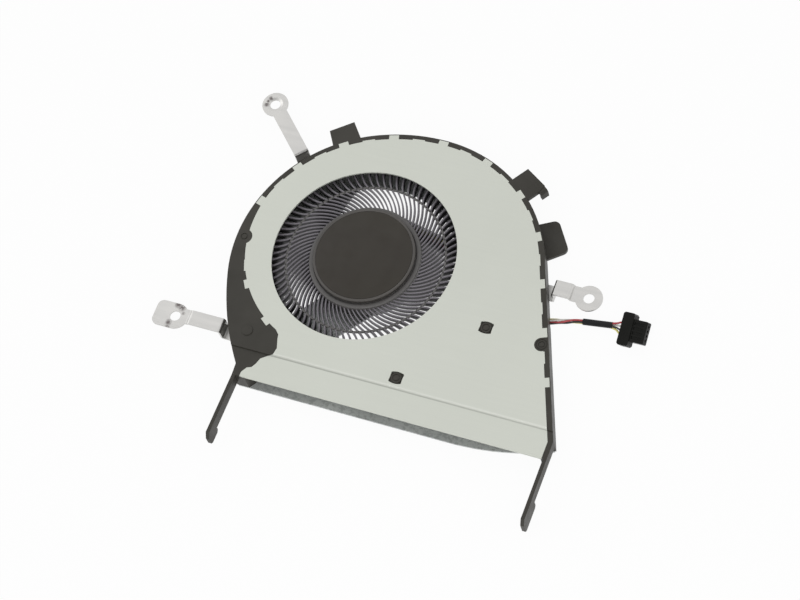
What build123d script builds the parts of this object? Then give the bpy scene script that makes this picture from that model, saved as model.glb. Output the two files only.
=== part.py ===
from build123d import *
from math import atan2, cos, degrees, pi, radians, sin, tan
import os

# A blower fan for a notebook computer, lying on its base. The origin is on the fan's axis at the
# underside of the base. +X runs along the outlet, +Y points away from the outlet and +Z is up.

# Stack of the housing, from the underside up
thickness = 6.0
base_sheet = 0.4
cover_sheet = 0.4
front_drop = 0.3
front_step_start = -27.85
front_step_end = -28.35
frame_step = -28.2
front_edge = -34.6

# Outline of the housing at the corners and joints of its round stretches
right_corner = (54.2, -30.2)
right_wall_end = (38.18, 10.38)
crown = (8.41, 31.52)
shoulder = (-7.41, 29.06)
left_flank = (-27.85, -11.8)
left_corner = (-17.7, -32.0)

# Wall of the housing: an outer rim round the cover, and a ledge that the cover lies on
rim = 1.15
ledge = 0.5
cover_gap = 0.05
wall = rim + ledge
base_inset = 0.3
mouth_curve_start = 31.5

# Cover
inlet_radius = 20.5
tooth_pitch = 11.65
tooth_first = 13.4
tooth_count = 11
tooth_width = 2.2
tooth_skin = 0.2
nib_width = 2.8
nib_reach = 0.2
tongue_teeth = ((-22.05, -13.35), (-14.75, -20.4))
tongue_nib = (-23.8, -9.14)

# Tongue, the solid corner between the scroll and the outlet
tongue_arc = ((-26.0, 9.2), (-23.1, -12.3), (-12.1, -22.2))
tongue_edge = (
    (-11.1, -23.2), (-10.9, -24.2), (-10.2, -26.3), (-10.5, -27.9), (-11.6, -28.5),
    (-12.9, -29.5), (-13.4, -30.9), (-14.0, -31.9), (-15.0, -32.3), (-15.8, -33.6),
)
tongue_tip = (-9.7, -25.3)
tongue_lip = (-10.4, -28.4)
duct_left = -15.4
arm_left_face = -17.55

# Arms that hold the fin stack
arm_height = 2.9
arm_width = 0.8
arm_root_end = -34.3
arm_chamfer = (0.9, 1.6)
left_arm_end = -49.7
left_barb = (3.5, 1.35)
right_arm_end = -49.3
right_barb = (6.2, 2.1)
arm_lean = 1.2

# Mounting ears of bent sheet: place and direction where each one rises, width and foot length
ears = {
    "bracket_left": ((-25.25, -23.6), 180.0, 3.4, 4.5),
    "bracket_top": ((-24.1, 21.66), 135.8, 3.3, 4.2),
    "bracket_right": ((42.38, 4.4), 0.0, 3.6, 4.1),
}
ear_sheet = 0.4
ear_bottom = 3.2
ear_fold = 0.25
ear_gap = 0.05
eye_hole = 1.2
eye_radius = 3.0
eye_sink = 0.15
left_eye = (10.95, 0.5)
left_eye_end = 15.85
top_eye = (14.5, 0.0)
right_eye = (7.69, -0.27)
left_joggle = (7.3, 7.9, 0.3)
right_joggle = (3.4, 3.85, 0.7)

# Intake openings in the base, with the spokes that cross them
boss_radius = 12.2
intake_radius = 19.7
intake_corner = 0.5
spokes = ((-12.0, 10.2, 13.9), (119.0, 5.2, 10.4), (230.0, 0.7, 11.1))

# Impeller
blade_count = 83
blade_thickness = 0.29
blade_radii = (14.4, 17.0, 21.2, 23.8)
blade_root_angle = -4.9
blade_angles = (1.85, 10.8, 17.9, 18.3)
blade_sink = 0.35
impeller_bottom = 1.5
blade_top = 4.1
blade_tip_top = 3.7
shoulder_top = 4.75
shoulder_width = 1.1
cap_top = 5.95
cap_sheet = 0.23
cap_lip = 0.8
cap_round = 0.2
disc_overlap = 0.35
disc_depth = 0.15
ring_inner = 17.45
ring_outer = 18.05
ring_height = 0.4

# Rotor and bearing
fit_gap = 0.02
running_gap = 0.02
shaft_radius = 0.75
shaft_groove = 0.22
yoke_radius = 10.2
yoke_wall = 0.3
yoke_seat = 0.7
skirt_wall = 0.6
collar_radius = 1.6
collar_bottom = 4.5
magnet_wall = 1.0
magnet_bottom = 1.7
magnet_top = 4.3
air_gap = 0.3
bearing_radius = 2.0
tower_radius = 2.6
tower_top = 4.3
tower_flange = 3.6
tower_floor = 0.5
plug_radius = 2.98
pad_radius = 1.2
pad_height = 0.2
retainer_radius = 1.9
retainer_bottom = 0.95
retainer_top = 1.1

# Motor board and stator
board_sheet = 0.3
board_margin = 0.6
chip_inset = 3.0
board_tail = (-3.0, 5.2)
chip_angle = 250.0
core_bottom = 2.2
core_height = 1.7
pole_count = 6
neck_width = 1.4
neck_start = 4.2
neck_end = 7.2
shoe_width = 6.6
liner_sheet = 0.15
coil_build = 0.7
coil_lift = 0.45

# Posts through the air duct, and stakes on the rim
post_places = ((31.85, -9.4), (17.35, -25.75))
post_foot = 1.0
post_radius = 1.55
post_head = 1.2
stake_radius = 1.5
rim_stake = (44.6, -9.95)
corner_stake = (-18.1, -24.1)
corner_radius = 1.2
corner_rise = 0.2
small_stake = (-27.5, -2.8)
small_stake_radius = 0.7

# Leads and connector
lead_diameter = 0.42
sleeve_bore = 0.6
sleeve_radius = 0.7
sleeve_ends = ((49.95, -0.17, 0.7), (56.5, 0.3, 1.6))
sleeve_row = 0.23
connector_place = (58.92, -0.22, 2.44)
connector_yaw = -3.5
connector_rise = 10.6
connector_roll = 20.1
connector_height = 2.6
connector_flange = (2.6, 7.15)
connector_body = (5.8, 4.85)
connector_step = 0.2
lead_pitch = 1.0
lead_depth = 1.2
cavity_width = 0.76
cavity_height = 1.0
cavity_depth = 4.8
window_length = 2.3

# Radii that follow from the yoke
disc_radius = yoke_radius + disc_overlap
cap_radius = disc_radius + cap_lip
hub_radius = cap_radius + shoulder_width
board_radius = yoke_radius - board_margin

up = Vector(0, 0, 1)


def plate(edges, bottom, top):
    """Solid between two heights inside a closed line of edges."""
    return extrude(Pos(0, 0, bottom) * make_face(edges), amount=top - bottom, dir=up)


def disc(radius, bottom, top, place=(0, 0)):
    """Upright cylinder between two heights."""
    return Pos(place[0], place[1], bottom) * extrude(Circle(radius), amount=top - bottom)


def ring(outer, inner, bottom, top):
    """Upright ring between two heights."""
    return Pos(0, 0, bottom) * extrude(Circle(outer) - Circle(inner), amount=top - bottom)


def turned(points):
    """Solid of revolution about the fan's axis from radius and height pairs."""
    line = Polyline(*points, close=True)
    return revolve(Plane.XZ * make_face(line.edges()), Axis.Z)


def polar(radius, angle):
    """Point at a radius and an angle in degrees round the fan's axis."""
    return (radius * cos(radians(angle)), radius * sin(radians(angle)))


def inward(edge, share, inset):
    """Point beside an outline edge, moved to the inside of the housing."""
    return edge @ share + (edge % share).rotate(Axis.Z, 90) * inset


def scroll(inset=0.0):
    """Right wall, round stretches and left flank of the outline, moved inward in parallel."""
    outer = [Line(right_corner, right_wall_end)]
    for end in (crown, shoulder, left_flank, left_corner):
        outer.append(TangentArc(outer[-1] @ 1, end, tangent=outer[-1] % 1))
    inner = [Line(inward(outer[0], 0, inset), inward(outer[0], 1, inset))]
    for edge in outer[1:]:
        end = inward(edge, 1, inset)
        inner.append(TangentArc(inner[-1] @ 1, end, tangent=inner[-1] % 1))
    return inner


def tongue_line(shift=0.0):
    """Arc of the tongue that faces the impeller, moved towards the fan's axis."""
    points = [Vector(*p) for p in tongue_arc]
    return ThreePointArc(*[p - p.normalized() * shift for p in points])


def cover_section(upper_gap):
    """Long block with the side profile of the cover, dropped at its front strip."""
    reach = 90.0
    top = thickness + upper_gap
    bottom = thickness - cover_sheet
    line = Polyline(
        (reach, top), (front_step_start, top), (front_step_end, top - front_drop),
        (-reach, top - front_drop), (-reach, bottom - front_drop),
        (front_step_end, bottom - front_drop), (front_step_start, bottom), (reach, bottom),
        close=True)
    return extrude(Plane.YZ * make_face(line.edges()), amount=reach, both=True)


def tooth(distance, width, skin, grow):
    """Rectangle across the rim at a distance along the outline."""
    for edge in scroll():
        if distance <= edge.length:
            break
        distance -= edge.length
    share = distance / edge.length
    along = edge % share
    middle = inward(edge, share, (wall + skin) / 2)
    return Pos(middle.X, middle.Y) * Rot(0, 0, degrees(atan2(along.Y, along.X))) * Rectangle(
        width + 2 * grow, wall - skin + 2 * grow)


def tongue_plan(grow=0.0):
    """Broad top face of the housing from the left flank to the tip of the tongue."""
    arc = tongue_line(grow)
    edge = [(x + grow, y) for x, y in tongue_edge]
    line = Polyline(arc @ 1, *edge, (edge[-1][0], front_edge - 1), (-40, front_edge - 1),
                    (-40, (arc @ 0).Y), arc @ 0)
    return make_face([arc] + line.edges())


def cover_plan(grow=0.0):
    """Plan of the cover with its teeth and nibs, grown all round for its seat in the housing."""
    outer = scroll(rim + cover_gap - grow)
    front = front_edge - grow
    right = outer[0] @ 0
    line = Polyline(outer[-1] @ 1, (arm_left_face, front), (right.X, front), right)
    plan = make_face(outer + line.edges()) - tongue_plan(-grow)
    for index in range(tooth_count):
        plan += tooth(tooth_first + index * tooth_pitch, tooth_width, tooth_skin, grow)
    for index in range(tooth_count - 1):
        middle = tooth_first + (index + 0.5) * tooth_pitch
        plan += tooth(middle, nib_width, rim - nib_reach, grow)
    for place in tongue_teeth:
        turn = degrees(atan2(place[1], place[0]))
        plan += Pos(*place) * Rot(0, 0, turn) * Rectangle(
            tooth_width + 2 * grow, tooth_width + 2 * grow)
    turn = degrees(atan2(tongue_nib[1], tongue_nib[0]))
    plan += Pos(*tongue_nib) * Rot(0, 0, turn) * Rectangle(
        tooth_width + 2 * grow, nib_width + 2 * grow)
    plan -= Pos(*rim_stake) * Circle(stake_radius + 2 * cover_gap - grow)
    return plan - Pos(*small_stake) * Circle(small_stake_radius + 1.1 - grow)


def duct_plan():
    """Air space inside the housing, open at the outlet."""
    inner = scroll(wall)
    start = inner[0] @ 0
    line = Polyline(inner[-1] @ 1, (arm_left_face, front_edge - 1), (start.X, front_edge - 1),
                    start)
    arc = tongue_line(ledge)
    tip = ThreePointArc(arc @ 1, tongue_tip, tongue_lip)
    solid = Polyline(tongue_lip, (duct_left, front_edge - 1), (-40, front_edge - 1),
                     (-40, (arc @ 0).Y), arc @ 0)
    return make_face(inner + line.edges()) - make_face([arc, tip] + solid.edges())


def wall_plan():
    """Plan of the moulded wall round the air space."""
    outer = scroll()
    line = Polyline(outer[-1] @ 1, (arm_left_face, front_edge), (0, front_edge),
                    (0, arm_root_end), (right_corner[0], arm_root_end), right_corner)
    return make_face(outer + line.edges()) - duct_plan()


def arm(end, barb, face):
    """One arm with its barb, drawn from the side and given its width inward from a face."""
    top = thickness - front_drop
    bottom = top - arm_height
    length, depth = barb
    run, drop = arm_chamfer
    line = Polyline(
        (front_edge + 1.2, top), (end + run, top), (end, top - drop),
        (end, bottom - depth + 0.5), (end + 0.5, bottom - depth),
        (end + length - 0.5, bottom - depth), (end + length, bottom - depth + 0.6),
        (end + length, bottom), (front_edge + 1.2, bottom), close=True)
    return extrude(Plane.YZ.offset(face) * make_face(line.edges()), amount=arm_width)


def arms():
    """Both arms that hold the fin stack in front of the outlet."""
    hinge = Pos(arm_left_face, front_edge, 0)
    left = arm(left_arm_end, left_barb, arm_left_face)
    left = hinge * Rot(0, 0, -arm_lean) * hinge.inverse() * left
    return left + arm(right_arm_end, right_barb, right_corner[0] - arm_width)


def square_tab():
    """Flat tab at the upper left."""
    line = Polyline((-18.7, 27.2), (-14.1, 30.8), (-11.2, 27.3), (-13.0, 25.2), (-16.3, 23.4),
                    close=True)
    return plate(line.edges(), thickness - 1.0, thickness)


def hook_tab():
    """Flat tab at the upper right with a finger that turns down."""
    line = Polyline((25.3, 26.2), (27.7, 29.5), (32.6, 26.5), (31.9, 24.8), (30.2, 22.4),
                    (28.0, 23.0), close=True)
    tab = plate(line.edges(), thickness - 1.0, thickness)
    side = Polyline((-1.5, 5.9), (1.2, 5.9), (1.2, 3.6), (0.5, 3.6), (0.5, 5.1), (-1.5, 5.1),
                    close=True)
    finger = extrude(Plane.XZ * make_face(side.edges()), amount=0.9, both=True)
    bends = finger.edges().filter_by(Axis.Y).sort_by(Axis.X)
    finger = fillet([e for e in bends if e.center().Z > 5.0 and e.center().X > 0.4], 0.65)
    return tab + Pos(32.15, 25.6, 0) * Rot(0, 0, -35.5) * finger


def round_tab():
    """Tab with round corners at the foot of the right wall."""
    line = Polyline((32.4, 18.2), (33.2, 19.4), (37.0, 21.5), (41.6, 14.9), (37.6, 11.7),
                    (36.0, 12.0), close=True)
    tab = plate(line.edges(), base_sheet, base_sheet + 0.8)
    upright = tab.edges().filter_by(Axis.Z)
    return fillet(upright.sort_by(Axis.X)[-1:] + upright.sort_by(Axis.Y)[-1:], 1.4)


def housing_frame():
    """Moulded wall of the scroll with its rim, tongue, arms and tabs."""
    walls = extrude(Pos(0, 0, base_sheet) * wall_plan(), amount=thickness - base_sheet, dir=up)
    root_bottom = thickness - front_drop - arm_height
    walls -= Pos(right_corner[0] + 1, right_corner[1], 0) * Box(
        8, 10, root_bottom, align=(Align.MAX, Align.MAX, Align.MIN))
    walls -= Pos(0, frame_step, thickness - front_drop) * Box(
        180, 20, 2, align=(Align.CENTER, Align.MAX, Align.MIN))
    walls += arms() + square_tab() + hook_tab() + round_tab()
    walls += disc(small_stake_radius + 1.05, thickness - 0.9, thickness, small_stake)
    seat = extrude(cover_plan(cover_gap), amount=2 * thickness, dir=up)
    walls -= seat & cover_section(5.0)
    walls += disc(stake_radius, thickness - 0.9, thickness, rim_stake)
    walls += disc(corner_radius, thickness - 0.5, thickness + corner_rise, corner_stake)
    for place, radius in ((rim_stake, 1.25), (rim_stake, 0.75), (small_stake, 0.8)):
        walls -= Pos(*place) * ring(radius, radius - 0.22, thickness - 0.15, thickness)
    walls -= lead_slot()
    for name in ears:
        walls -= foot_pocket(name)
    return walls


def stake_hole():
    """Hole in the cover round a post: hollow at its sides and full at its ends."""
    side, waist, crest, height = 1.5, 1.38, 1.42, 1.1
    edges = [
        ThreePointArc((-side, height), (0, crest), (side, height)),
        ThreePointArc((side, height), (waist, 0), (side, -height)),
        ThreePointArc((side, -height), (0, -crest), (-side, -height)),
        ThreePointArc((-side, -height), (-waist, 0), (-side, height)),
    ]
    face = make_face(edges)
    return fillet(face.vertices(), 0.25)


def top_cover():
    """Sheet cover with the round inlet."""
    plan = cover_plan() - Circle(inlet_radius)
    for place in post_places:
        plan -= Pos(*place) * stake_hole()
    return extrude(plan, amount=2 * thickness, dir=up) & cover_section(0.0)


def spoke(direction, near, far):
    """Band across the intake ring, running off at one side of the boss."""
    start = board_tail[0] - 0.2
    return Rot(0, 0, direction) * Pos(start, near) * Rectangle(
        2 * intake_radius, far - near, align=(Align.MIN, Align.MIN))


def base_plate():
    """Sheet base with three intake openings round the motor."""
    outer = scroll(base_inset)
    corner = outer[0] @ 0
    left = (arm_left_face + base_inset, front_edge)
    curve_start = (mouth_curve_start, front_edge)
    front = Polyline(outer[-1] @ 1, left, curve_start)
    curve = TangentArc(curve_start, corner, tangent=(1, 0))
    plan = make_face(outer + front.edges() + [curve])
    openings = Circle(intake_radius) - Circle(boss_radius)
    for direction, near, far in spokes:
        openings -= spoke(direction, near, far)
    plan -= fillet(openings.vertices(), intake_corner)
    plan -= Circle(plug_radius + fit_gap)
    for place in post_places:
        plan -= Pos(*place) * Circle(post_foot + fit_gap)
    return extrude(plan, amount=base_sheet, dir=up)


def support_posts():
    """Posts in the air duct that carry the cover, with heads that hold it down."""
    posts = Part()
    line = Polyline(
        (0, 0), (post_foot, 0), (post_foot, base_sheet), (post_radius, base_sheet),
        (post_radius, thickness - cover_sheet), (post_head, thickness - cover_sheet),
        (post_head, thickness - 0.1), (post_head - 0.1, thickness), (0.85, thickness),
        (0.85, thickness - 0.15), (0.62, thickness - 0.15), (0.62, thickness), (0, thickness),
        close=True)
    post = revolve(Plane.XZ * make_face(line.edges()), Axis.Z)
    for x, y in post_places:
        posts += Pos(x, y, 0) * post
    return posts


def blade():
    """One backward-curved blade, standing at its place beside the +X direction."""
    root = Vector(*polar(hub_radius - blade_sink, blade_root_angle))
    belly, bend, tail, tip = (Vector(*polar(*p)) for p in zip(blade_radii, blade_angles))
    first = ThreePointArc(root, belly, bend)
    second = TangentArc(bend, tail, tangent=first % 1)
    half = blade_thickness / 2
    sides = []
    for side in (half, -half):
        def beside(edge, share):
            return edge @ share + (edge % share).rotate(Axis.Z, 90) * side
        sides.append([
            ThreePointArc(*[beside(first, share) for share in (0, 0.5, 1)]),
            ThreePointArc(*[beside(second, share) for share in (0, 0.5, 1)]),
            Line(beside(second, 1), tip + (second % 1).rotate(Axis.Z, 90) * side),
        ])
    left, right = sides
    left[1] = ThreePointArc(left[0] @ 1, left[1] @ 0.5, left[1] @ 1)
    right[1] = ThreePointArc(right[0] @ 1, right[1] @ 0.5, right[1] @ 1)
    ends = [Line(left[0] @ 0, right[0] @ 0), Line(left[2] @ 1, right[2] @ 1)]
    return plate(left + right + ends, impeller_bottom, blade_top)


def impeller():
    """Moulded hub with its crown of thin curved blades and the ring that ties them."""
    inside = yoke_radius + fit_gap
    cap_floor = cap_top - disc_depth
    web = cap_floor - cap_sheet
    groove_inner, groove_outer, groove_top = inside + yoke_seat, hub_radius - skirt_wall, blade_top
    hub = turned((
        (0, web), (inside, web), (inside, impeller_bottom), (groove_inner, impeller_bottom),
        (groove_inner, groove_top), (groove_outer, groove_top), (groove_outer, impeller_bottom),
        (hub_radius, impeller_bottom), (hub_radius, shoulder_top), (cap_radius, shoulder_top),
        (cap_radius, cap_top), (disc_radius + fit_gap, cap_top),
        (disc_radius + fit_gap, cap_floor), (0, cap_floor)))
    rounded = []
    for edge in hub.edges().filter_by(GeomType.CIRCLE):
        for radius, height in ((hub_radius, shoulder_top), (cap_radius, cap_top)):
            if abs(edge.radius - radius) < 0.01 and abs(edge.center().Z - height) < 0.01:
                rounded.append(edge)
    hub = fillet(rounded, cap_round)
    reach = blade_radii[-1] - ring_outer
    fall = degrees(atan2(blade_top - blade_tip_top, reach))
    above = Rot(0, 0, blade_angles[-1]) * Pos(ring_outer, 0, blade_top) * Rot(0, fall, 0) * Box(
        2 * reach, 2 * reach, blade_top, align=(Align.MIN, Align.CENTER, Align.MIN))
    single = blade() - above
    crown_of_blades = [Rot(0, 0, 360 * i / blade_count) * single for i in range(blade_count)]
    band = ring(ring_outer, ring_inner, blade_top - ring_height, blade_top)
    return hub.fuse(band, *crown_of_blades)


def hub_disc():
    """Plain disc in the top of the hub."""
    return disc(disc_radius, cap_top - disc_depth, cap_top)


def rotor_yoke():
    """Steel cup inside the hub, with the collar that grips the shaft."""
    top = cap_top - disc_depth - cap_sheet
    under = top - yoke_wall
    inside = yoke_radius - yoke_wall
    bore = shaft_radius + fit_gap
    return turned((
        (bore, top), (yoke_radius, top), (yoke_radius, magnet_bottom), (inside, magnet_bottom),
        (inside, under), (collar_radius, under), (collar_radius, collar_bottom),
        (bore, collar_bottom)))


def magnet_ring():
    """Ring magnet inside the yoke."""
    outer = yoke_radius - yoke_wall - fit_gap
    return ring(outer, outer - magnet_wall, magnet_bottom, magnet_top)


def rotor_shaft():
    """Shaft with the groove for its retainer."""
    foot = tower_floor + pad_height + fit_gap
    top = cap_top - disc_depth - cap_sheet
    groove = shaft_radius - shaft_groove
    return turned((
        (0, foot), (shaft_radius - 0.2, foot), (shaft_radius, foot + 0.1),
        (shaft_radius, retainer_bottom - 0.05), (groove, retainer_bottom - 0.05),
        (groove, retainer_top + 0.05), (shaft_radius, retainer_top + 0.05),
        (shaft_radius, top), (0, top)))


def bearing_housing():
    """Turned tower that holds the bearing and stands in the base."""
    return turned((
        (0, 0), (plug_radius, 0), (plug_radius, base_sheet), (tower_flange, base_sheet),
        (tower_flange, base_sheet + 0.4), (tower_radius, base_sheet + 0.4),
        (tower_radius, tower_top), (bearing_radius, tower_top), (bearing_radius, retainer_bottom),
        (bearing_radius - 0.5, retainer_bottom), (bearing_radius - 0.5, tower_floor),
        (0, tower_floor)))


def bearing_sleeve():
    """Sintered sleeve that the shaft runs in."""
    outer = bearing_radius - fit_gap
    sleeve = ring(outer, shaft_radius + running_gap, retainer_top, tower_top - 0.1)
    return chamfer(sleeve.edges().filter_by(GeomType.CIRCLE).group_by(Axis.Z)[-1], 0.15)


def core_plan(grow=0.0):
    """Plan of the stator: a hub with six poles that end in broad shoes."""
    outer = yoke_radius - yoke_wall - fit_gap - magnet_wall - air_gap
    plan = Circle(neck_start)
    shoes = Sketch()
    for index in range(pole_count):
        turn = Rot(0, 0, 360 * index / pole_count)
        plan += turn * Pos(outer / 2, 0) * Rectangle(outer, neck_width)
        shoe = turn * Pos((neck_end + outer + 1) / 2, 0) * Rectangle(outer + 1 - neck_end, shoe_width)
        shoes += shoe & (Circle(outer) - Circle(neck_end))
    return plan + shoes - (Circle(outer + 3) - Circle(outer)) - Circle(tower_radius + fit_gap)


def stator_core():
    """Stack of stator sheets on the bearing tower."""
    return extrude(Pos(0, 0, core_bottom) * core_plan(), amount=core_height, dir=up)


def stator_liner(bottom):
    """Insulating sheet on one face of the stator."""
    return extrude(Pos(0, 0, bottom) * core_plan(), amount=liner_sheet, dir=up)


def stator_coils():
    """Windings round the six necks."""
    half = neck_width / 2 + 0.05
    lower = core_bottom - liner_sheet
    upper = core_bottom + core_height + liner_sheet
    middle = (lower + upper) / 2
    length = neck_end - neck_start - 0.3
    face = Rectangle(2 * (half + coil_build), upper - lower + 2 * coil_lift)
    face = fillet(face.vertices(), 0.35) - Rectangle(2 * half, upper - lower)
    coil = extrude(Plane.YZ * Pos(0, 0) * face, amount=length)
    coils = Part()
    for index in range(pole_count):
        turn = Rot(0, 0, 360 * index / pole_count)
        coils += turn * Pos(neck_start + 0.15, 0, middle) * coil
    return coils


def motor_board():
    """Ring board under the stator, with a tail along the upper spoke for the leads."""
    direction, near, far = spokes[0]
    left, right = board_tail
    tail = Rot(0, 0, direction) * Pos((left + right) / 2, (near + far) / 2) * Rectangle(
        right - left, far - near - 0.5)
    waist = Rot(0, 0, direction) * Pos((left + right) / 2, near - 1.0) * Rectangle(
        right - left, 3.0)
    plan = Circle(board_radius) + tail + waist - Circle(tower_flange + 0.1)
    return extrude(Pos(0, 0, base_sheet) * plan, amount=board_sheet, dir=up)


def driver_chip():
    """Driver circuit and the small parts beside it on the board."""
    top = base_sheet + board_sheet
    place = board_radius - chip_inset
    parts = Pos(*polar(place, chip_angle), top) * Rot(0, 0, chip_angle) * Box(
        2.8, 3.2, 0.6, align=(Align.CENTER, Align.CENTER, Align.MIN))
    for angle in (200.0, 215.0, 300.0):
        parts += Pos(*polar(place + 0.8, angle), top) * Rot(0, 0, angle) * Box(
            0.8, 1.6, 0.5, align=(Align.CENTER, Align.CENTER, Align.MIN))
    return parts


def ear_place(name):
    """Place where an ear rises, with X pointing outward along it."""
    place, direction, width, foot = ears[name]
    return Pos(place[0], place[1], 0) * Rot(0, 0, direction)


def foot_pocket(name):
    """Pocket in the wall for the foot of an ear."""
    place, direction, width, foot = ears[name]
    return ear_place(name) * Pos(-foot - ear_gap, 0, base_sheet) * Box(
        foot + 2, width + 2 * ear_gap, ear_sheet + ear_gap, align=(Align.MIN, Align.CENTER, Align.MIN))


def ear(name, eye, steps, end=None):
    """One ear: bent sheet with its foot on the base, cut to the plan of a stem and an eye."""
    place, direction, width, foot = ears[name]
    line = [(-foot, base_sheet), (0, base_sheet)] + steps
    radii = []
    for before, here, after in zip(line, line[1:], line[2:]):
        cross = (here[0] - before[0]) * (after[1] - here[1]) - (here[1] - before[1]) * (after[0] - here[0])
        radii.append(ear_fold + (ear_sheet if cross > 0 else 0))
    path = FilletPolyline(*line, radius=radii)
    face = make_face(offset(path, ear_sheet, side=Side.LEFT, closed=True).edges())
    sheet = extrude(Plane.XZ * face, amount=10, both=True)
    stem = Pos(-foot, 0) * Rectangle(foot + eye[0], width, align=(Align.MIN, Align.CENTER))
    plan = stem + Pos(*eye) * Circle(eye_radius)
    if end:
        plan += Pos(*eye) * end
    plan -= Pos(*eye) * Circle(eye_hole)
    return ear_place(name) * (sheet & extrude(plan, amount=thickness, dir=up))


def bracket_left():
    """Ear with a round eye that runs out into a square end, beside the tongue."""
    end = Rectangle(left_eye_end - left_eye[0], 2 * eye_radius, align=(Align.MIN, Align.CENTER))
    end = fillet(end.vertices().sort_by(Axis.X)[2:], eye_radius / 2)
    start, finish, drop = left_joggle
    steps = [(0, ear_bottom), (start, ear_bottom), (finish, ear_bottom - drop),
             (left_eye_end + 2, ear_bottom - drop)]
    return ear("bracket_left", left_eye, steps, end)


def bracket_top():
    """Ear with a round eye at the upper left, sunk a little round its hole."""
    steps = [(0, ear_bottom), (top_eye[0] + eye_radius + 2, ear_bottom)]
    sink = Pos(*top_eye, ear_bottom + ear_sheet - eye_sink) * Cone(
        eye_hole, eye_hole + 4 * eye_sink, eye_sink, align=(Align.CENTER, Align.CENTER, Align.MIN))
    return ear("bracket_top", top_eye, steps) - ear_place("bracket_top") * sink


def bracket_right():
    """Ear with a round eye and a raised step, at the right wall."""
    start, finish, rise = right_joggle
    steps = [(0, ear_bottom + rise), (start, ear_bottom + rise), (finish, ear_bottom),
             (right_eye[0] + eye_radius + 2, ear_bottom)]
    return ear("bracket_right", right_eye, steps)


def along_sleeve(distance, aside=0.0, above=0.0):
    """Point beside the axis of the lead sleeve, at a distance beyond its first end."""
    start, end = (Vector(*p) for p in sleeve_ends)
    along = (end - start).normalized()
    across = up.cross(along).normalized()
    return start + along * distance + across * aside + along.cross(across) * above


def at_connector(distance, aside=0.0):
    """Point in the middle layer of the connector, at a distance beyond its rear face."""
    return (connector_frame() * Pos(distance, aside, connector_height / 2)).position


def lead_points(name):
    """Route of one lead in space, from the board to its terminal."""
    side, heights, (aside, above), row = lead_rows[name]
    spots = [Vector(*p) for p in lead_route]
    after = spots[1:] + [along_sleeve(0)]
    before = spots[:1] + spots[:-1]
    points = []
    for spot, last, following, height in zip(spots, before, after, heights):
        along = Vector(following.X - last.X, following.Y - last.Y)
        points.append(spot + along.normalized().rotate(Axis.Z, 90) * side + up * height)
    length = (Vector(*sleeve_ends[1]) - Vector(*sleeve_ends[0])).length
    for distance in (-1.6, length + 0.5):
        points.append(along_sleeve(distance, aside * sleeve_row, above * sleeve_row))
    return points + [at_connector(distance, row * lead_pitch) for distance in (-0.2, lead_depth)]


def lead(name):
    """One insulated lead: straight runs joined by arcs as large as the runs allow."""
    points = lead_points(name)
    runs = [after - before for before, after in zip(points, points[1:])]
    radii = []
    for first, second in zip(runs, runs[1:]):
        turn = radians(first.get_angle(second))
        radii.append(0.45 * min(first.length, second.length) / tan(turn / 2))
    path = FilletPolyline(*points, radius=radii)
    tube = sweep(Plane(origin=points[0], z_dir=runs[0]) * Circle(lead_diameter / 2), path=path)
    share = tube.volume / (pi * lead_diameter ** 2 / 4 * path.length)
    print(name, "length", round(path.length, 2), "volume share", round(share, 4),
          "radii", [round(r, 1) for r in radii])
    return tube


def lead_sleeve():
    """Sleeve that gathers the leads between the housing and the connector."""
    start, end = (Vector(*p) for p in sleeve_ends)
    face = Circle(sleeve_radius) - Circle(sleeve_bore)
    return extrude(Plane(origin=start, z_dir=end - start) * face, amount=(end - start).length)


def lead_slot():
    """Slot through the right wall for the leads."""
    x, y = lead_route[5]
    return Pos(x - 0.4, y - 0.1, base_sheet) * Rot(0, 0, 15) * Box(
        5.4, 2.3, 0.62, align=(Align.CENTER, Align.CENTER, Align.MIN))


def connector_frame():
    """Place of the connector, with X along its axis and its underside on the local floor."""
    turn = Rot(0, 0, connector_yaw) * Rot(0, -connector_rise, 0) * Rot(connector_roll, 0, 0)
    return Pos(*connector_place) * turn * Pos(0, 0, -connector_height / 2)


def lead_offsets():
    """Places of the leads across the connector."""
    return [(index - 1.5) * lead_pitch for index in range(4)]


def connector_housing():
    """Connector with a broad rear flange, four cavities and a window over each terminal."""
    flange_length, flange_width = connector_flange
    reach, width = connector_body
    middle = (Align.MIN, Align.CENTER, Align.MIN)
    flange = Box(flange_length, flange_width, connector_height, align=middle)
    flange = chamfer(flange.edges().filter_by(Axis.Z), 0.35)
    body = Pos(flange_length - 0.1, 0, connector_step) * Box(
        reach - flange_length + 0.1, width, connector_height - 2 * connector_step, align=middle)
    shell = flange + chamfer(body.faces().sort_by(Axis.X)[-1].edges(), 0.2)
    for offset_y in lead_offsets():
        shell -= Pos(-0.1, offset_y, connector_height / 2) * Box(
            cavity_depth + 0.1, cavity_width, cavity_height,
            align=(Align.MIN, Align.CENTER, Align.CENTER))
        shell -= Pos(cavity_depth - 0.1, offset_y, connector_height / 2) * Box(
            reach, 0.45, 0.6, align=(Align.MIN, Align.CENTER, Align.CENTER))
        shell -= Pos(flange_length + 0.3, offset_y, connector_height - connector_step - 0.2) * Box(
            window_length, cavity_width - 0.2, 1, align=middle)
    return connector_frame() * shell


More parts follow.
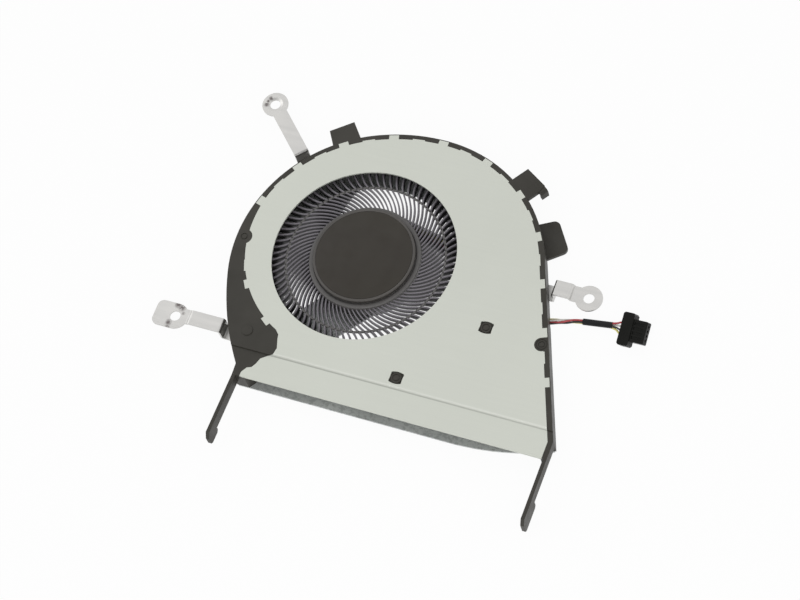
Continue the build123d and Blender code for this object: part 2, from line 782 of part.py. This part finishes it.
def connector_terminals():
    """Four sheet terminals in the cavities, each with a barrel on its lead."""
    width = cavity_width - 2 * fit_gap
    height = cavity_height - 2 * fit_gap
    box = Pos(lead_depth + 1.0, 0, 0) * Box(
        cavity_depth - lead_depth - 1.2, width, height, align=(Align.MIN, Align.CENTER, Align.CENTER))
    box -= Pos(lead_depth + 0.8, 0, 0) * Box(
        cavity_depth, width - 0.24, height - 0.24, align=(Align.MIN, Align.CENTER, Align.CENTER))
    barrel = Pos(lead_depth, 0, 0) * Rot(0, 90, 0) * Cylinder(
        0.22, 0.8, align=(Align.CENTER, Align.CENTER, Align.MIN))
    tongue = Pos(lead_depth + 0.4, 0, -height / 2) * Box(
        1.2, 0.3, height / 2, align=(Align.MIN, Align.CENTER, Align.MIN))
    single = box + barrel + tongue
    terminals = Part()
    for offset_y in lead_offsets():
        terminals += connector_frame() * Pos(0, offset_y, connector_height / 2) * single
    return terminals


# Middle of the lead bundle seen from above, from the board to the outside of the wall
lead_route = (
    (6.9, 10.85), (15.0, 9.13), (25.0, 6.4), (34.0, 1.2), (39.6, -3.0), (43.0, -2.35),
    (46.2, -1.05),
)
# For each lead its place beside that line, its heights along it, its place in the sleeve
# (aside and above, in rows) and its place across the connector (in pitches)
low_lead = (0.94, 0.64, 0.64, 0.64, 0.64, 0.64, 0.56)
high_lead = (0.94, 0.64, 0.64, 0.64, 0.64, 0.66, 1.05)
lead_rows = {
    "lead_red": (0.25, high_lead, (1, 1), 1.5),
    "lead_white": (0.75, low_lead, (1, -1), 0.5),
    "lead_black": (-0.25, high_lead, (-1, 1), -0.5),
    "lead_yellow": (-0.75, low_lead, (-1, -1), -1.5),
}

nodes = {
    "housing_frame": housing_frame(),
    "top_cover": top_cover(),
    "base_plate": base_plate(),
    "support_posts": support_posts(),
    "bracket_left": bracket_left(),
    "bracket_top": bracket_top(),
    "bracket_right": bracket_right(),
    "impeller": impeller(),
    "hub_disc": hub_disc(),
    "rotor_yoke": rotor_yoke(),
    "magnet_ring": magnet_ring(),
    "rotor_shaft": rotor_shaft(),
    "bearing_housing": bearing_housing(),
    "thrust_pad": disc(pad_radius, tower_floor, tower_floor + pad_height),
    "shaft_retainer": ring(retainer_radius, 0.6, retainer_bottom, retainer_top),
    "bearing_sleeve": bearing_sleeve(),
    "stator_core": stator_core(),
    "stator_liner_top": stator_liner(core_bottom + core_height),
    "stator_liner_bottom": stator_liner(core_bottom - liner_sheet),
    "stator_coils": stator_coils(),
    "motor_board": motor_board(),
    "driver_chip": driver_chip(),
    "lead_sleeve": lead_sleeve(),
    "connector_housing": connector_housing(),
    "connector_terminals": connector_terminals(),
}
for name in lead_rows:
    nodes[name] = lead(name)

os.makedirs("parts", exist_ok=True)
for name, shape in nodes.items():
    export_step(shape, f"parts/{name}.step")
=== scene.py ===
import math
import bmesh
import bpy
from mathutils import Matrix, Vector


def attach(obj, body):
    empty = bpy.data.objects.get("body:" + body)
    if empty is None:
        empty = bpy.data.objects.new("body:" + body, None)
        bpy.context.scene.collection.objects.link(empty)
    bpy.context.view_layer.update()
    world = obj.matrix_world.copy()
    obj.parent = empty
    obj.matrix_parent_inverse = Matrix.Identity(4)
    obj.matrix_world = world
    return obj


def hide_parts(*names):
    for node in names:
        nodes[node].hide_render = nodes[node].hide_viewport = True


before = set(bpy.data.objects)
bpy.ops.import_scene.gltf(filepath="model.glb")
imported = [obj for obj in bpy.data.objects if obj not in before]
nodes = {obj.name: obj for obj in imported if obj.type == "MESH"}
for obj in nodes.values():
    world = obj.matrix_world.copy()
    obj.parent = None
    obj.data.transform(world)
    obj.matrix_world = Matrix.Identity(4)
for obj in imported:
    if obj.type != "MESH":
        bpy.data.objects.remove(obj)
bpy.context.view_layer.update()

scene = bpy.context.scene

# The fan's own sizes and places are in millimetres and its angles in degrees. MM turns a
# millimetre into metres. The camera, the floor's reach and the lamps are in metres.
MM = 0.001


def add(name, data):
    """Object in the scene that shows the given data."""
    thing = bpy.data.objects.new(name, data)
    scene.collection.objects.link(thing)
    return thing


# Camera at the photograph's angle
camera_place = Vector((0.185278, -0.222199, 0.502802))
camera_right = Vector((0.92172, 0.34736, -0.17256)).normalized()
camera_forward = Vector((-0.30565, 0.37663, -0.87449)).normalized()
camera_up = camera_right.cross(camera_forward).normalized()
camera_data = bpy.data.cameras.new("camera")
camera_data.lens = 119.25
camera_data.sensor_width = 36.0
camera_data.sensor_fit = "HORIZONTAL"
camera_data.clip_start = 0.01
camera = add("camera", camera_data)
camera_turn = Matrix((camera_right, camera_up, -camera_forward)).transposed()
camera.matrix_world = Matrix.Translation(camera_place) @ camera_turn.to_4x4()
scene.camera = camera

# Leads from the board to the connector. They change places inside the housing and twist
# before the sleeve.
lead_routes = {
    "lead_red": [
        (6.85, 10.61, 0.94), (14.94, 8.89, 0.64), (24.9, 6.17, 0.64), (33.87, 0.97, 0.64),
        (39.51, -3.23, 0.64), (43.05, -2.1, 0.64), (45.2, -1.8, 0.9), (46.9, -1.0, 1.15),
        (48.32, -0.06, 0.71), (56.95, 0.56, 1.9), (58.72, 1.2, 2.91), (60.09, 1.12, 3.17)],
    "lead_white": [
        (6.95, 11.1, 0.94), (15.06, 9.37, 0.64), (25.1, 6.63, 0.64), (34.14, 1.41, 0.64),
        (39.69, -2.77, 0.64), (43.0, -2.05, 1.07), (45.2, -1.3, 1.15), (46.9, -0.6, 0.75),
        (48.38, -0.05, 0.26), (57.01, 0.57, 1.44), (58.72, 0.26, 2.57), (60.09, 0.18, 2.83)],
    "lead_black": [
        (6.74, 10.12, 0.94), (14.82, 8.4, 0.64), (24.71, 5.71, 0.64), (33.59, 0.57, 0.64),
        (39.33, -3.7, 0.64), (43.15, -2.6, 0.66), (45.2, -1.65, 0.45), (46.9, -1.4, 0.75),
        (48.35, -0.52, 0.71), (56.98, 0.1, 1.9), (58.73, -0.68, 2.23), (60.1, -0.76, 2.49)],
    "lead_yellow": [
        (7.06, 11.58, 0.94), (15.18, 9.86, 0.64), (25.29, 7.09, 0.64), (34.41, 1.83, 0.64),
        (39.88, -2.3, 0.64), (42.95, -1.58, 0.8), (45.2, -1.0, 0.72), (46.9, -1.05, 0.35),
        (48.42, -0.51, 0.26), (57.04, 0.11, 1.44), (58.73, -1.62, 1.9), (60.11, -1.7, 2.15)],
}
lead_diameter = 0.42 * MM
lead_point_radius = 0.1 * MM


def wire(name, route):
    """Tube along a smooth curve that the points of a route lead.

    The radius of the points is small, because Blender widens the box of a curve by it.
    """
    data = bpy.data.curves.new(name + "_line", "CURVE")
    data.dimensions = "3D"
    line = data.splines.new("NURBS")
    line.points.add(len(route) - 1)
    for point, (x, y, z) in zip(line.points, route):
        point.co = (x * MM, y * MM, z * MM, 1.0)
        point.radius = lead_point_radius
    line.order_u = 3
    line.use_endpoint_u = True
    line.resolution_u = 12
    data.bevel_depth = lead_diameter / 2 / lead_point_radius
    data.bevel_resolution = 4
    data.use_fill_caps = True
    return add(name + "_wire", data)


leads = {}
for name, route in lead_routes.items():
    lead = wire(name, route)
    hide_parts(name)
    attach(lead, "housing")
    leads[name] = lead

# Hub of the impeller: a skirt round the yoke, a rim that carries the blades, a shoulder, a
# neck, and a cap with a lip round the recess for the disc
hub_bottom = 1.5
skirt_inner = 10.22
skirt_outer = 10.62
rim_inner = 11.85
hub_radius = 12.45
hub_round = 0.25
shoulder_inner = 11.42
shoulder_top = 4.75
shoulder_round = 0.15
neck_radius = 10.95
neck_bottom = 4.3
neck_top = 5.4
lip_edge = (11.33, 5.55)
cap_radius = 11.35
cap_top = 5.95
cap_round = 0.22
cap_sheet = 0.23
recess_radius = 10.78
recess_floor = 5.8
recess_round = 0.08

# Hole in the middle of the cap, which the disc hides
middle_hole = 0.5

# Cap faces are those above this height and beyond this radius
cap_start = 4.8
cap_inner = 10.7

# Disc in the recess, and ring that ties the blades
disc_radius = 10.72
disc_round = 0.06
disc_gap = 0.01
ring_inner = 17.5
ring_outer = 17.98
ring_bottom = 3.75
ring_round = 0.1

# Blades: angle, underside, crest and half thickness, each by its distance from the axis
blade_count = 83
blade_top = 4.1
blade_root = 12.2
blade_tip = 23.8
blade_course = (
    (blade_root, -5.1), (12.8, -3.3), (13.4, -1.44), (14.1, 0.85), (14.8, 3.15), (15.5, 5.5),
    (16.2, 7.95), (16.9, 10.45), (17.5, 12.4), (18.0, 13.9), (18.5, 15.0), (19.1, 15.95),
    (19.9, 16.85), (21.2, 17.8), (blade_tip, 18.3))
blade_floor = ((blade_root, 2.7), (13.0, 3.0), (17.3, 3.0), (18.2, 2.3), (blade_tip, 2.1))
blade_crest = ((blade_root, blade_top), (18.05, blade_top), (blade_tip, 3.7))
blade_half = ((blade_root, 0.17), (17.4, 0.17), (18.6, 0.21), (blade_tip, 0.21))

# Round crest of a blade: share of its half thickness, and share of the rounding's depth
blade_round = 0.12
crest_shape = ((-1, 1), (-0.8, 1 / 3), (-0.4, 0), (0.4, 0), (0.8, 1 / 3), (1, 1))

lathe_steps = 160

# Faces that meet at more than this angle keep a sharp edge between them
smooth_angle = 40

# Numbers of the impeller's parts, in the order of its materials
hub_part, blade_part, cap_part = 0, 1, 2


def arc(centre, size, start, steps):
    """Points of a quarter circle in a profile, from a direction on."""
    turns = [math.radians(start + 90 * index / steps) for index in range(steps + 1)]
    return [(centre[0] + size * math.cos(t), centre[1] + size * math.sin(t)) for t in turns]


def outer_corner(radius, top, size, steps=4):
    """Rounding of a profile's top corner away from the axis."""
    return arc((radius - size, top - size), size, 0, steps)


def inner_corner(radius, top, size, steps=4):
    """Rounding of a profile's top corner towards the axis."""
    return arc((radius + size, top - size), size, 90, steps)


def lathe(mesh, profile):
    """Rows of faces round the axis from a closed profile of radius and height pairs."""
    rows = []
    for index in range(lathe_steps):
        angle = 2 * math.pi * index / lathe_steps
        x, y = math.cos(angle) * MM, math.sin(angle) * MM
        rows.append([mesh.verts.new((r * x, r * y, z * MM)) for r, z in profile])
    for row, following in zip(rows, rows[1:] + rows[:1]):
        for index in range(len(profile)):
            after = (index + 1) % len(profile)
            mesh.faces.new((row[index], following[index], following[after], row[after]))


def turned(*profiles):
    """Mesh with a turned body for each profile, closed where a profile reaches the axis."""
    mesh = bmesh.new()
    for profile in profiles:
        lathe(mesh, profile)
    bmesh.ops.remove_doubles(mesh, verts=mesh.verts, dist=0.001 * MM)
    return mesh


def read_off(value, knots):
    """Value read from a table of knots with straight stretches between them."""
    for (low, first), (high, second) in zip(knots, knots[1:]):
        if value <= high:
            return first + (second - first) * max(value - low, 0) / (high - low)
    return knots[-1][1]


def blade(mesh, turn):
    """One blade, turned to its place: sections with a round crest along its course."""
    course = []
    for radius, angle in blade_course:
        angle = math.radians(angle + turn)
        course.append(Vector((radius * math.cos(angle), radius * math.sin(angle), 0)))
    sections = []
    for index, spot in enumerate(course):
        along = course[min(index + 1, len(course) - 1)] - course[max(index - 1, 0)]
        aside = Vector((-along.y, along.x, 0)).normalized()
        radius = blade_course[index][0]
        half, low, high = (read_off(radius, knots) for knots in (blade_half, blade_floor, blade_crest))
        crest = [(side, high - blade_round * drop) for side, drop in crest_shape]
        sections.append([mesh.verts.new((spot + aside * half * side + Vector((0, 0, z))) * MM)
                         for side, z in [(-1, low)] + crest + [(1, low)]])
    for first, second in zip(sections, sections[1:]):
        for index in range(len(first)):
            after = (index + 1) % len(first)
            mesh.faces.new((first[index], second[index], second[after], first[after]))
    mesh.faces.new(sections[0])
    mesh.faces.new(sections[-1][::-1])


def slab(plan, bottom, top):
    """Mesh of a flat plate between two heights inside a line of points."""
    mesh = bmesh.new()
    low, high = ([mesh.verts.new((x * MM, y * MM, z * MM)) for x, y in plan] for z in (bottom, top))
    mesh.faces.new(low)
    mesh.faces.new(high)
    for index in range(len(plan)):
        after = (index + 1) % len(plan)
        mesh.faces.new((low[index], low[after], high[after], high[index]))
    return mesh


def object_from(mesh, name):
    """Object from a mesh that was being built, smooth apart from its sharp edges."""
    bmesh.ops.recalc_face_normals(mesh, faces=mesh.faces)
    data = bpy.data.meshes.new(name + "_mesh")
    mesh.to_mesh(data)
    mesh.free()
    data.shade_smooth()
    data.set_sharp_from_angle(angle=math.radians(smooth_angle))
    return add(name, data)


def hub_profile():
    """Half section of the hub, from its middle hole round the underside and back over the cap."""
    web = recess_floor - cap_sheet
    underside = [
        (middle_hole, web), (skirt_inner, web), (skirt_inner, hub_bottom),
        (skirt_outer, hub_bottom), (skirt_outer, blade_top), (rim_inner, blade_top),
        (rim_inner, hub_bottom), (hub_radius, hub_bottom)]
    shoulder = (outer_corner(hub_radius, shoulder_top, hub_round)
                + inner_corner(shoulder_inner, shoulder_top, shoulder_round))
    neck = [(shoulder_inner, neck_bottom), (neck_radius, neck_bottom), (neck_radius, neck_top)]
    cap = ([lip_edge] + outer_corner(cap_radius, cap_top, cap_round)
           + inner_corner(recess_radius, cap_top, recess_round))
    recess = [(recess_radius, recess_floor), (middle_hole, recess_floor)]
    return underside + shoulder + neck + cap + recess


def ring_profile():
    """Section of the ring that ties the blades."""
    return ([(ring_inner, ring_bottom), (ring_outer, ring_bottom)]
            + outer_corner(ring_outer, blade_top, ring_round, 3)
            + inner_corner(ring_inner, blade_top, ring_round, 3))


def impeller_mesh():
    """Hub, ring and crown of blades, with the faces of each part marked for its plastic."""
    mesh = turned(hub_profile(), ring_profile())
    for face in mesh.faces:
        middle = face.calc_center_median() / MM
        above_neck = middle.z > cap_start and middle.xy.length > cap_inner
        face.material_index = cap_part if above_neck else hub_part
    first_blade_face = len(mesh.faces)
    for index in range(blade_count):
        blade(mesh, 360.0 * index / blade_count)
    mesh.faces.ensure_lookup_table()
    for face in mesh.faces[first_blade_face:]:
        face.material_index = blade_part
    return mesh


wheel = object_from(impeller_mesh(), "impeller_wheel")
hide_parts("impeller")
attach(wheel, "rotor")

disc_bottom = recess_floor + disc_gap
disc_top = cap_top - disc_gap
disc_profile = ([(0.0, disc_bottom), (disc_radius, disc_bottom)]
                + outer_corner(disc_radius, disc_top, disc_round, 3) + [(0.0, disc_top)])
disc = object_from(turned(disc_profile), "hub_face_disc")
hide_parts("hub_disc")
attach(disc, "rotor")

# Wide root of the far spoke of the base. It keeps a little inside the two faces of the base's
# sheet, and its rim lies in the sheet, a little beyond the edge of the opening.
base_sheet = 0.4
base_skin = 0.02
root_rim_radius = 19.75
root_inner_points = [(-11.35, 9.14), (-9.2, 17.5)]
root_rim_angles = [math.radians(angle) for angle in range(118, 137, 3)]
root_plan = root_inner_points + [
    (root_rim_radius * math.cos(angle), root_rim_radius * math.sin(angle))
    for angle in root_rim_angles]
spoke_root = object_from(slab(root_plan, base_skin, base_sheet - base_skin), "spoke_root")
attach(spoke_root, "housing")


# Materials. A noise's scale is in waves per metre, and a relief's depth is a real one.
class Tree:
    """Node tree of a material or world, with short calls for the nodes it is made of."""

    def __init__(self, owner):
        owner.use_nodes = True
        self.tree = owner.node_tree

    def feed(self, socket, value):
        """Another node's result linked to a socket, or a plain value set on it."""
        if isinstance(value, bpy.types.NodeSocket):
            self.tree.links.new(value, socket)
        else:
            socket.default_value = value

    def node(self, kind, inputs=(), **settings):
        """Node with its settings and inputs."""
        node = self.tree.nodes.new(kind)
        for key, value in settings.items():
            setattr(node, key, value)
        for key, value in dict(inputs).items():
            self.feed(node.inputs[key], value)
        return node

    def calc(self, kind, first, second=0.0):
        """Result of a calculation with one or two values."""
        return self.node("ShaderNodeMath", {0: first, 1: second}, operation=kind).outputs[0]

    def spread(self, value, low, high, new_low=0.0, new_high=1.0, **settings):
        """Value moved from one range to another and held inside it."""
        return self.node("ShaderNodeMapRange", {
            "Value": value, "From Min": low, "From Max": high,
            "To Min": new_low, "To Max": new_high}, **settings).outputs["Result"]


class Finish(Tree):
    """Material of a piece, whose shader is fed by procedural nodes."""

    def __init__(self, name, **sockets):
        self.material = bpy.data.materials.new(name)
        super().__init__(self.material)
        self.shader = self.tree.nodes["Principled BSDF"]
        for socket, value in sockets.items():
            self.shader.inputs[socket.replace("_", " ")].default_value = value
        self.space = self.node("ShaderNodeTexCoord").outputs["Object"]

    def link(self, value, socket):
        """Result of a node linked to the shader."""
        self.tree.links.new(value, self.shader.inputs[socket])

    def stretch(self, scale, turn=0.0):
        """Object coordinates scaled unevenly, for grain that runs one way."""
        return self.node("ShaderNodeMapping", {
            "Vector": self.space, "Scale": scale,
            "Rotation": (0.0, 0.0, math.radians(turn))}).outputs["Vector"]

    def noise(self, scale, detail=4.0, roughness=0.55, vector=None):
        """Soft noise about one half."""
        return self.node("ShaderNodeTexNoise", {
            "Vector": vector or self.space, "Scale": scale, "Detail": detail,
            "Roughness": roughness, "Distortion": 0.0}).outputs["Fac"]

    def mix(self, share, first, second):
        """Colour between two others, each a node's result or plain red, green and blue."""
        node = self.node("ShaderNodeMix", {0: share}, data_type="RGBA")
        for socket, colour in ((node.inputs[6], first), (node.inputs[7], second)):
            self.feed(socket, (*colour, 1.0) if isinstance(colour, tuple) else colour)
        return node.outputs[2]

    def blend(self, first, second, share):
        """Sum of two values by their shares, of which the second's is given."""
        return self.calc("ADD", self.calc("MULTIPLY", first, 1.0 - share),
                         self.calc("MULTIPLY", second, share))

    def tint(self, share, colour):
        """Another colour laid over the surface's own by a share."""
        plain = self.shader.inputs["Base Color"].links[0].from_socket
        self.link(self.mix(share, plain, colour), "Base Color")

    def fleck(self, scale, colour, strength):
        """Small irregular marks of another colour."""
        marks = self.spread(self.noise(scale, 3.0), 0.47, 0.62)
        self.tint(self.calc("MULTIPLY", marks, strength), colour)

    def paint_dark_reflection(self, spots, colour, strength):
        """Painted dark reflections: patchy marks round points given in millimetres with a reach."""
        near = 0.0
        for x, y, z, reach in spots:
            gap = self.node("ShaderNodeVectorMath", {0: self.space, 1: (x * MM, y * MM, z * MM)},
                            operation="DISTANCE").outputs["Value"]
            mark = self.spread(gap, reach * MM, 0.35 * reach * MM)
            near = self.calc("MAXIMUM", mark, near)
        patchy = self.spread(self.noise(2600.0, 3.0), 0.33, 0.50)
        share = self.calc("MULTIPLY", self.calc("MULTIPLY", near, patchy), strength)
        self.tint(share, colour)

    def paint_shade_below(self, top, bottom, colour):
        """Painted shade: another colour that gathers from one height down to a lower one, in
        millimetres.
        """
        height = self.node("ShaderNodeSeparateXYZ", {"Vector": self.space}).outputs["Z"]
        self.tint(self.spread(height, top * MM, bottom * MM), colour)

    def stripe(self, centre, half_width, colour, strength):
        """Line along X round one place on Y, in millimetres."""
        across = self.node("ShaderNodeSeparateXYZ", {"Vector": self.space}).outputs["Y"]
        off = self.calc("ABSOLUTE", self.calc("SUBTRACT", across, centre * MM))
        share = self.spread(off, half_width * MM, 0.3 * half_width * MM, 0.0, strength)
        self.tint(share, colour)

    def bump(self, height, depth, edge):
        """Relief of a real depth in metres, with edges that catch the light."""
        rounding = self.node("ShaderNodeBevel", {"Radius": edge}, samples=6)
        relief = self.node("ShaderNodeBump", {
            "Height": height, "Distance": depth, "Strength": 1.0,
            "Normal": rounding.outputs["Normal"]})
        self.link(relief.outputs["Normal"], "Normal")


def moulded(name, dark, light, rough, **sockets):
    """Moulded plastic: fine spark-eroded grain, faint flow clouds and worn gloss."""
    finish = Finish(name, **sockets)
    cloud = finish.spread(finish.noise(90.0, 3.0), 0.35, 0.65)
    finish.link(finish.mix(cloud, dark, light), "Base Color")
    fine = finish.noise(4200.0, 2.0)
    worn = finish.spread(finish.noise(260.0, 5.0), 0.3, 0.7, rough - 0.07, rough + 0.09)
    finish.link(worn, "Roughness")
    finish.bump(fine, 0.006 * MM, 0.06 * MM)
    return finish


def pressed(name, dark, light, rough, grain=(30.0, 900.0, 900.0), turn=0.0, relief=0.002 * MM,
            **sockets):
    """Rolled sheet: grain along one way and soft clouds, in its colour and its gloss."""
    finish = Finish(name, **sockets)
    rolled = finish.noise(1.0, 4.0, 0.6, finish.stretch(grain, turn))
    both = finish.blend(rolled, finish.noise(55.0, 3.0), 0.55)
    finish.link(finish.mix(finish.spread(both, 0.36, 0.64), dark, light), "Base Color")
    finish.link(finish.spread(both, 0.3, 0.7, rough - 0.05, rough + 0.06), "Roughness")
    finish.bump(rolled, relief, 0.05 * MM)
    return finish


def coated(name, dark, light, **sockets):
    """Coated sheet: even clouds with a little grain and a silky sheen."""
    finish = Finish(name, **sockets)
    cloud = finish.noise(28.0, 4.0, 0.5)
    grain = finish.noise(1.0, 5.0, 0.6, finish.stretch((60.0, 1500.0, 1500.0)))
    both = finish.blend(cloud, grain, 0.3)
    finish.link(finish.mix(finish.spread(both, 0.36, 0.66), dark, light), "Base Color")
    finish.link(finish.spread(both, 0.3, 0.7, 0.40, 0.50), "Roughness")
    finish.bump(finish.noise(5200.0, 2.0), 0.0012 * MM, 0.05 * MM)
    return finish


def dress(finish, *names):
    """Finish put on nodes of the CAD model."""
    for name in names:
        slots = nodes[name].data.materials
        slots.clear()
        slots.append(finish.material)


# Housing, cover and base
dress(moulded("dark_plastic", (0.027, 0.0245, 0.0185), (0.037, 0.034, 0.027), rough=0.46,
              Specular_IOR_Level=0.4), "housing_frame", "support_posts")

# The cover steps down to its front strip. A painted highlight runs along the edge of the step
# and a line of painted shade along its slope
step_painted_shade = -28.25
step_painted_highlight = -27.8
cover_finish = coated("cover_finish", (0.605, 0.625, 0.565), (0.64, 0.66, 0.60), Metallic=0.55)
cover_finish.stripe(step_painted_shade, half_width=0.2, colour=(0.30, 0.31, 0.28), strength=0.55)
cover_finish.stripe(step_painted_highlight, half_width=0.25, colour=(0.80, 0.81, 0.76), strength=0.45)
dress(cover_finish, "top_cover")

base_finish = pressed("base_finish", (0.56, 0.58, 0.57), (0.70, 0.72, 0.71), rough=0.45,
                      Metallic=0.5)
base_finish.fleck(scale=1500.0, colour=(0.36, 0.38, 0.37), strength=0.6)
dress(base_finish, "base_plate")
spoke_root.data.materials.append(base_finish.material)

# Ears, with painted dark reflections round the holes of their eyes: place and reach of each mark
ear_painted_reflections = (
    (-36.5, -21.4, 3.6, 1.1), (-35.4, -21.9, 3.6, 1.1), (-34.6, -23.1, 3.6, 0.6),
    (-37.1, -26.0, 3.6, 1.0), (-36.9, -27.1, 3.6, 0.8),
    (-36.0, 33.0, 3.6, 0.7), (-36.4, 31.2, 3.6, 0.75), (-36.4, 32.1, 3.6, 0.5))
ear_finish = pressed("ear_finish", (0.57, 0.565, 0.55), (0.66, 0.65, 0.63), rough=0.30,
                     grain=(40.0, 800.0, 800.0), turn=30.0, Metallic=0.95)
# Painted dark reflections round the holes of the ears' eyes
ear_finish.paint_dark_reflection(ear_painted_reflections, colour=(0.12, 0.10, 0.10), strength=0.9)
dress(ear_finish, "bracket_left", "bracket_top", "bracket_right")

# Impeller, in the order of the parts' numbers. Painted shade darkens its blades below their crests.
hub_finish = moulded("hub_plastic", (0.092, 0.088, 0.086), (0.110, 0.105, 0.103), rough=0.38)
# The blades' plastic is painted brighter than the hub's, as painted light on the blades
blade_painted_light_finish = moulded("blade_plastic_painted_light", (0.165, 0.155, 0.172), (0.195, 0.183, 0.203), rough=0.34)
blade_painted_light_finish.paint_shade_below(top=3.95, bottom=3.45, colour=(0.022, 0.021, 0.022))
cap_finish = moulded("cap_plastic", (0.060, 0.055, 0.050), (0.075, 0.069, 0.063), rough=0.40)
for finish in (hub_finish, blade_painted_light_finish, cap_finish):
    wheel.data.materials.append(finish.material)
disc_finish = moulded("disc_plastic", (0.026, 0.0215, 0.016), (0.030, 0.0255, 0.0185), rough=0.55,
                      Specular_IOR_Level=0.4)
disc.data.materials.append(disc_finish.material)

# Motor
dress(pressed("yoke_finish", (0.4, 0.4, 0.4), (0.5, 0.5, 0.5), rough=0.3, Metallic=1.0),
      "rotor_yoke", "rotor_shaft")
dress(moulded("magnet_finish", (0.02, 0.02, 0.02), (0.035, 0.034, 0.033), rough=0.6), "magnet_ring")
dress(pressed("tower_finish", (0.55, 0.42, 0.2), (0.66, 0.52, 0.28), rough=0.32, Metallic=1.0),
      "bearing_housing", "bearing_sleeve")
dress(moulded("wear_plastic", (0.55, 0.52, 0.42), (0.68, 0.65, 0.55), rough=0.5),
      "thrust_pad", "shaft_retainer", "stator_liner_top", "stator_liner_bottom")
dress(pressed("core_finish", (0.22, 0.22, 0.23), (0.32, 0.32, 0.33), rough=0.4,
              grain=(20.0, 20.0, 9000.0), Metallic=0.9), "stator_core")
dress(pressed("winding_finish", (0.40, 0.14, 0.05), (0.60, 0.25, 0.10), rough=0.3,
              grain=(5000.0, 40.0, 5000.0), relief=0.02 * MM, Metallic=0.8), "stator_coils")
dress(moulded("board_finish", (0.015, 0.035, 0.020), (0.022, 0.05, 0.03), rough=0.35), "motor_board")
dress(moulded("chip_finish", (0.015, 0.015, 0.016), (0.03, 0.03, 0.03), rough=0.5), "driver_chip")

# Connector and leads
dress(moulded("plug_plastic", (0.006, 0.006, 0.005), (0.010, 0.010, 0.009), rough=0.38,
              Specular_IOR_Level=0.12), "connector_housing")
dress(pressed("terminal_finish", (0.5, 0.5, 0.47), (0.65, 0.64, 0.6), rough=0.28, Metallic=1.0),
      "connector_terminals")
dress(moulded("sleeve_plastic", (0.010, 0.010, 0.011), (0.017, 0.017, 0.018), rough=0.45,
              Specular_IOR_Level=0.2), "lead_sleeve")
lead_colours = {
    "lead_red": ((0.42, 0.045, 0.055), (0.52, 0.08, 0.09)),
    "lead_white": ((0.62, 0.60, 0.55), (0.74, 0.72, 0.68)),
    "lead_black": ((0.02, 0.02, 0.02), (0.035, 0.035, 0.035)),
    "lead_yellow": ((0.68, 0.62, 0.17), (0.80, 0.74, 0.28)),
}
for name, (dark, light) in lead_colours.items():
    leads[name].data.materials.append(moulded(name + "_skin", dark, light, rough=0.38).material)


def length_of(lead):
    """Length of a lead along its middle line."""
    bare = lead.copy()
    bare.data = lead.data.copy()
    bare.data.bevel_depth = 0.0
    line = bpy.data.meshes.new_from_object(bare)
    spots = [vertex.co for vertex in line.vertices]
    length = sum((after - before).length for before, after in zip(spots, spots[1:]))
    bpy.data.objects.remove(bare)
    bpy.data.meshes.remove(line)
    return length


for name, lead in leads.items():
    length_of(lead)

# Floor, a little below the fan
floor_reach = 3.0
floor_height = -0.02 * MM
floor_corners = [(x * floor_reach, y * floor_reach, floor_height)
                 for x, y in ((-1, -1), (1, -1), (1, 1), (-1, 1))]
floor_mesh = bpy.data.meshes.new("floor")
floor_mesh.from_pydata(floor_corners, [], [(0, 1, 2, 3)])
floor = add("floor", floor_mesh)


def paper():
    """Pale paper, nearly as bright as the background where the camera or a gloss sees it."""
    material = bpy.data.materials.new("paper")
    look = Tree(material)
    surface = look.tree.nodes["Principled BSDF"]
    surface.inputs["Base Color"].default_value = (0.8, 0.8, 0.8, 1.0)
    surface.inputs["Roughness"].default_value = 0.9
    surface.inputs["Specular IOR Level"].default_value = 0.0
    glow = look.node("ShaderNodeEmission", {"Strength": 1.0})
    ray = look.node("ShaderNodeLightPath").outputs
    seen = look.calc("MAXIMUM", ray["Is Camera Ray"], ray["Is Glossy Ray"])
    glow_share = 0.95
    both = look.node("ShaderNodeMixShader", {
        0: look.calc("MULTIPLY", seen, glow_share), 1: surface.outputs[0], 2: glow.outputs[0]})
    look.feed(look.tree.nodes["Material Output"].inputs["Surface"], both.outputs[0])
    return material


def studio():
    """World that is white where it is seen and dimmer as a light.

    Over the front of the table it has a dim screen, which only reflections show.
    """
    world = bpy.data.worlds.new("studio")
    sky = Tree(world)
    background = sky.tree.nodes["Background"]
    background.inputs["Color"].default_value = (1.0, 1.0, 1.0, 1.0)
    ray = sky.node("ShaderNodeLightPath").outputs
    seen = sky.calc("MAXIMUM", ray["Is Camera Ray"], ray["Is Glossy Ray"])
    seen = sky.calc("MAXIMUM", seen, ray["Is Transmission Ray"])
    level = sky.spread(seen, 0.0, 1.0, 0.7, 1.0)
    screen_side = Vector((0.2, -0.55, 0.81)).normalized()
    direction = sky.node("ShaderNodeTexCoord").outputs["Generated"]
    facing = sky.node("ShaderNodeVectorMath", {0: direction, 1: screen_side},
                      operation="DOT_PRODUCT").outputs["Value"]
    screen = sky.spread(facing, 0.66, 0.90, 1.0, 0.25, interpolation_type="SMOOTHSTEP")
    unscreened = sky.calc("SUBTRACT", 1.0, ray["Is Glossy Ray"])
    power = sky.calc("MULTIPLY", level, sky.calc("MAXIMUM", screen, unscreened))
    sky.feed(background.inputs["Strength"], power)
    return world


floor.data.materials.append(paper())
scene.world = studio()


def lamp(name, spot, side, power):
    """Square lamp that faces the origin."""
    data = bpy.data.lights.new(name, "AREA")
    data.shape = "SQUARE"
    data.size = side
    data.energy = power
    light = add(name, data)
    light.location = spot
    light.rotation_euler = (-Vector(spot)).to_track_quat("-Z", "Y").to_euler()


lamp("key", spot=(-0.62, 0.12, 0.55), side=0.4, power=0.45)
lamp("fill", spot=(0.14, -0.36, 0.34), side=0.35, power=0.72)

scene.view_settings.view_transform = "Standard"

bpy.context.view_layer.update()
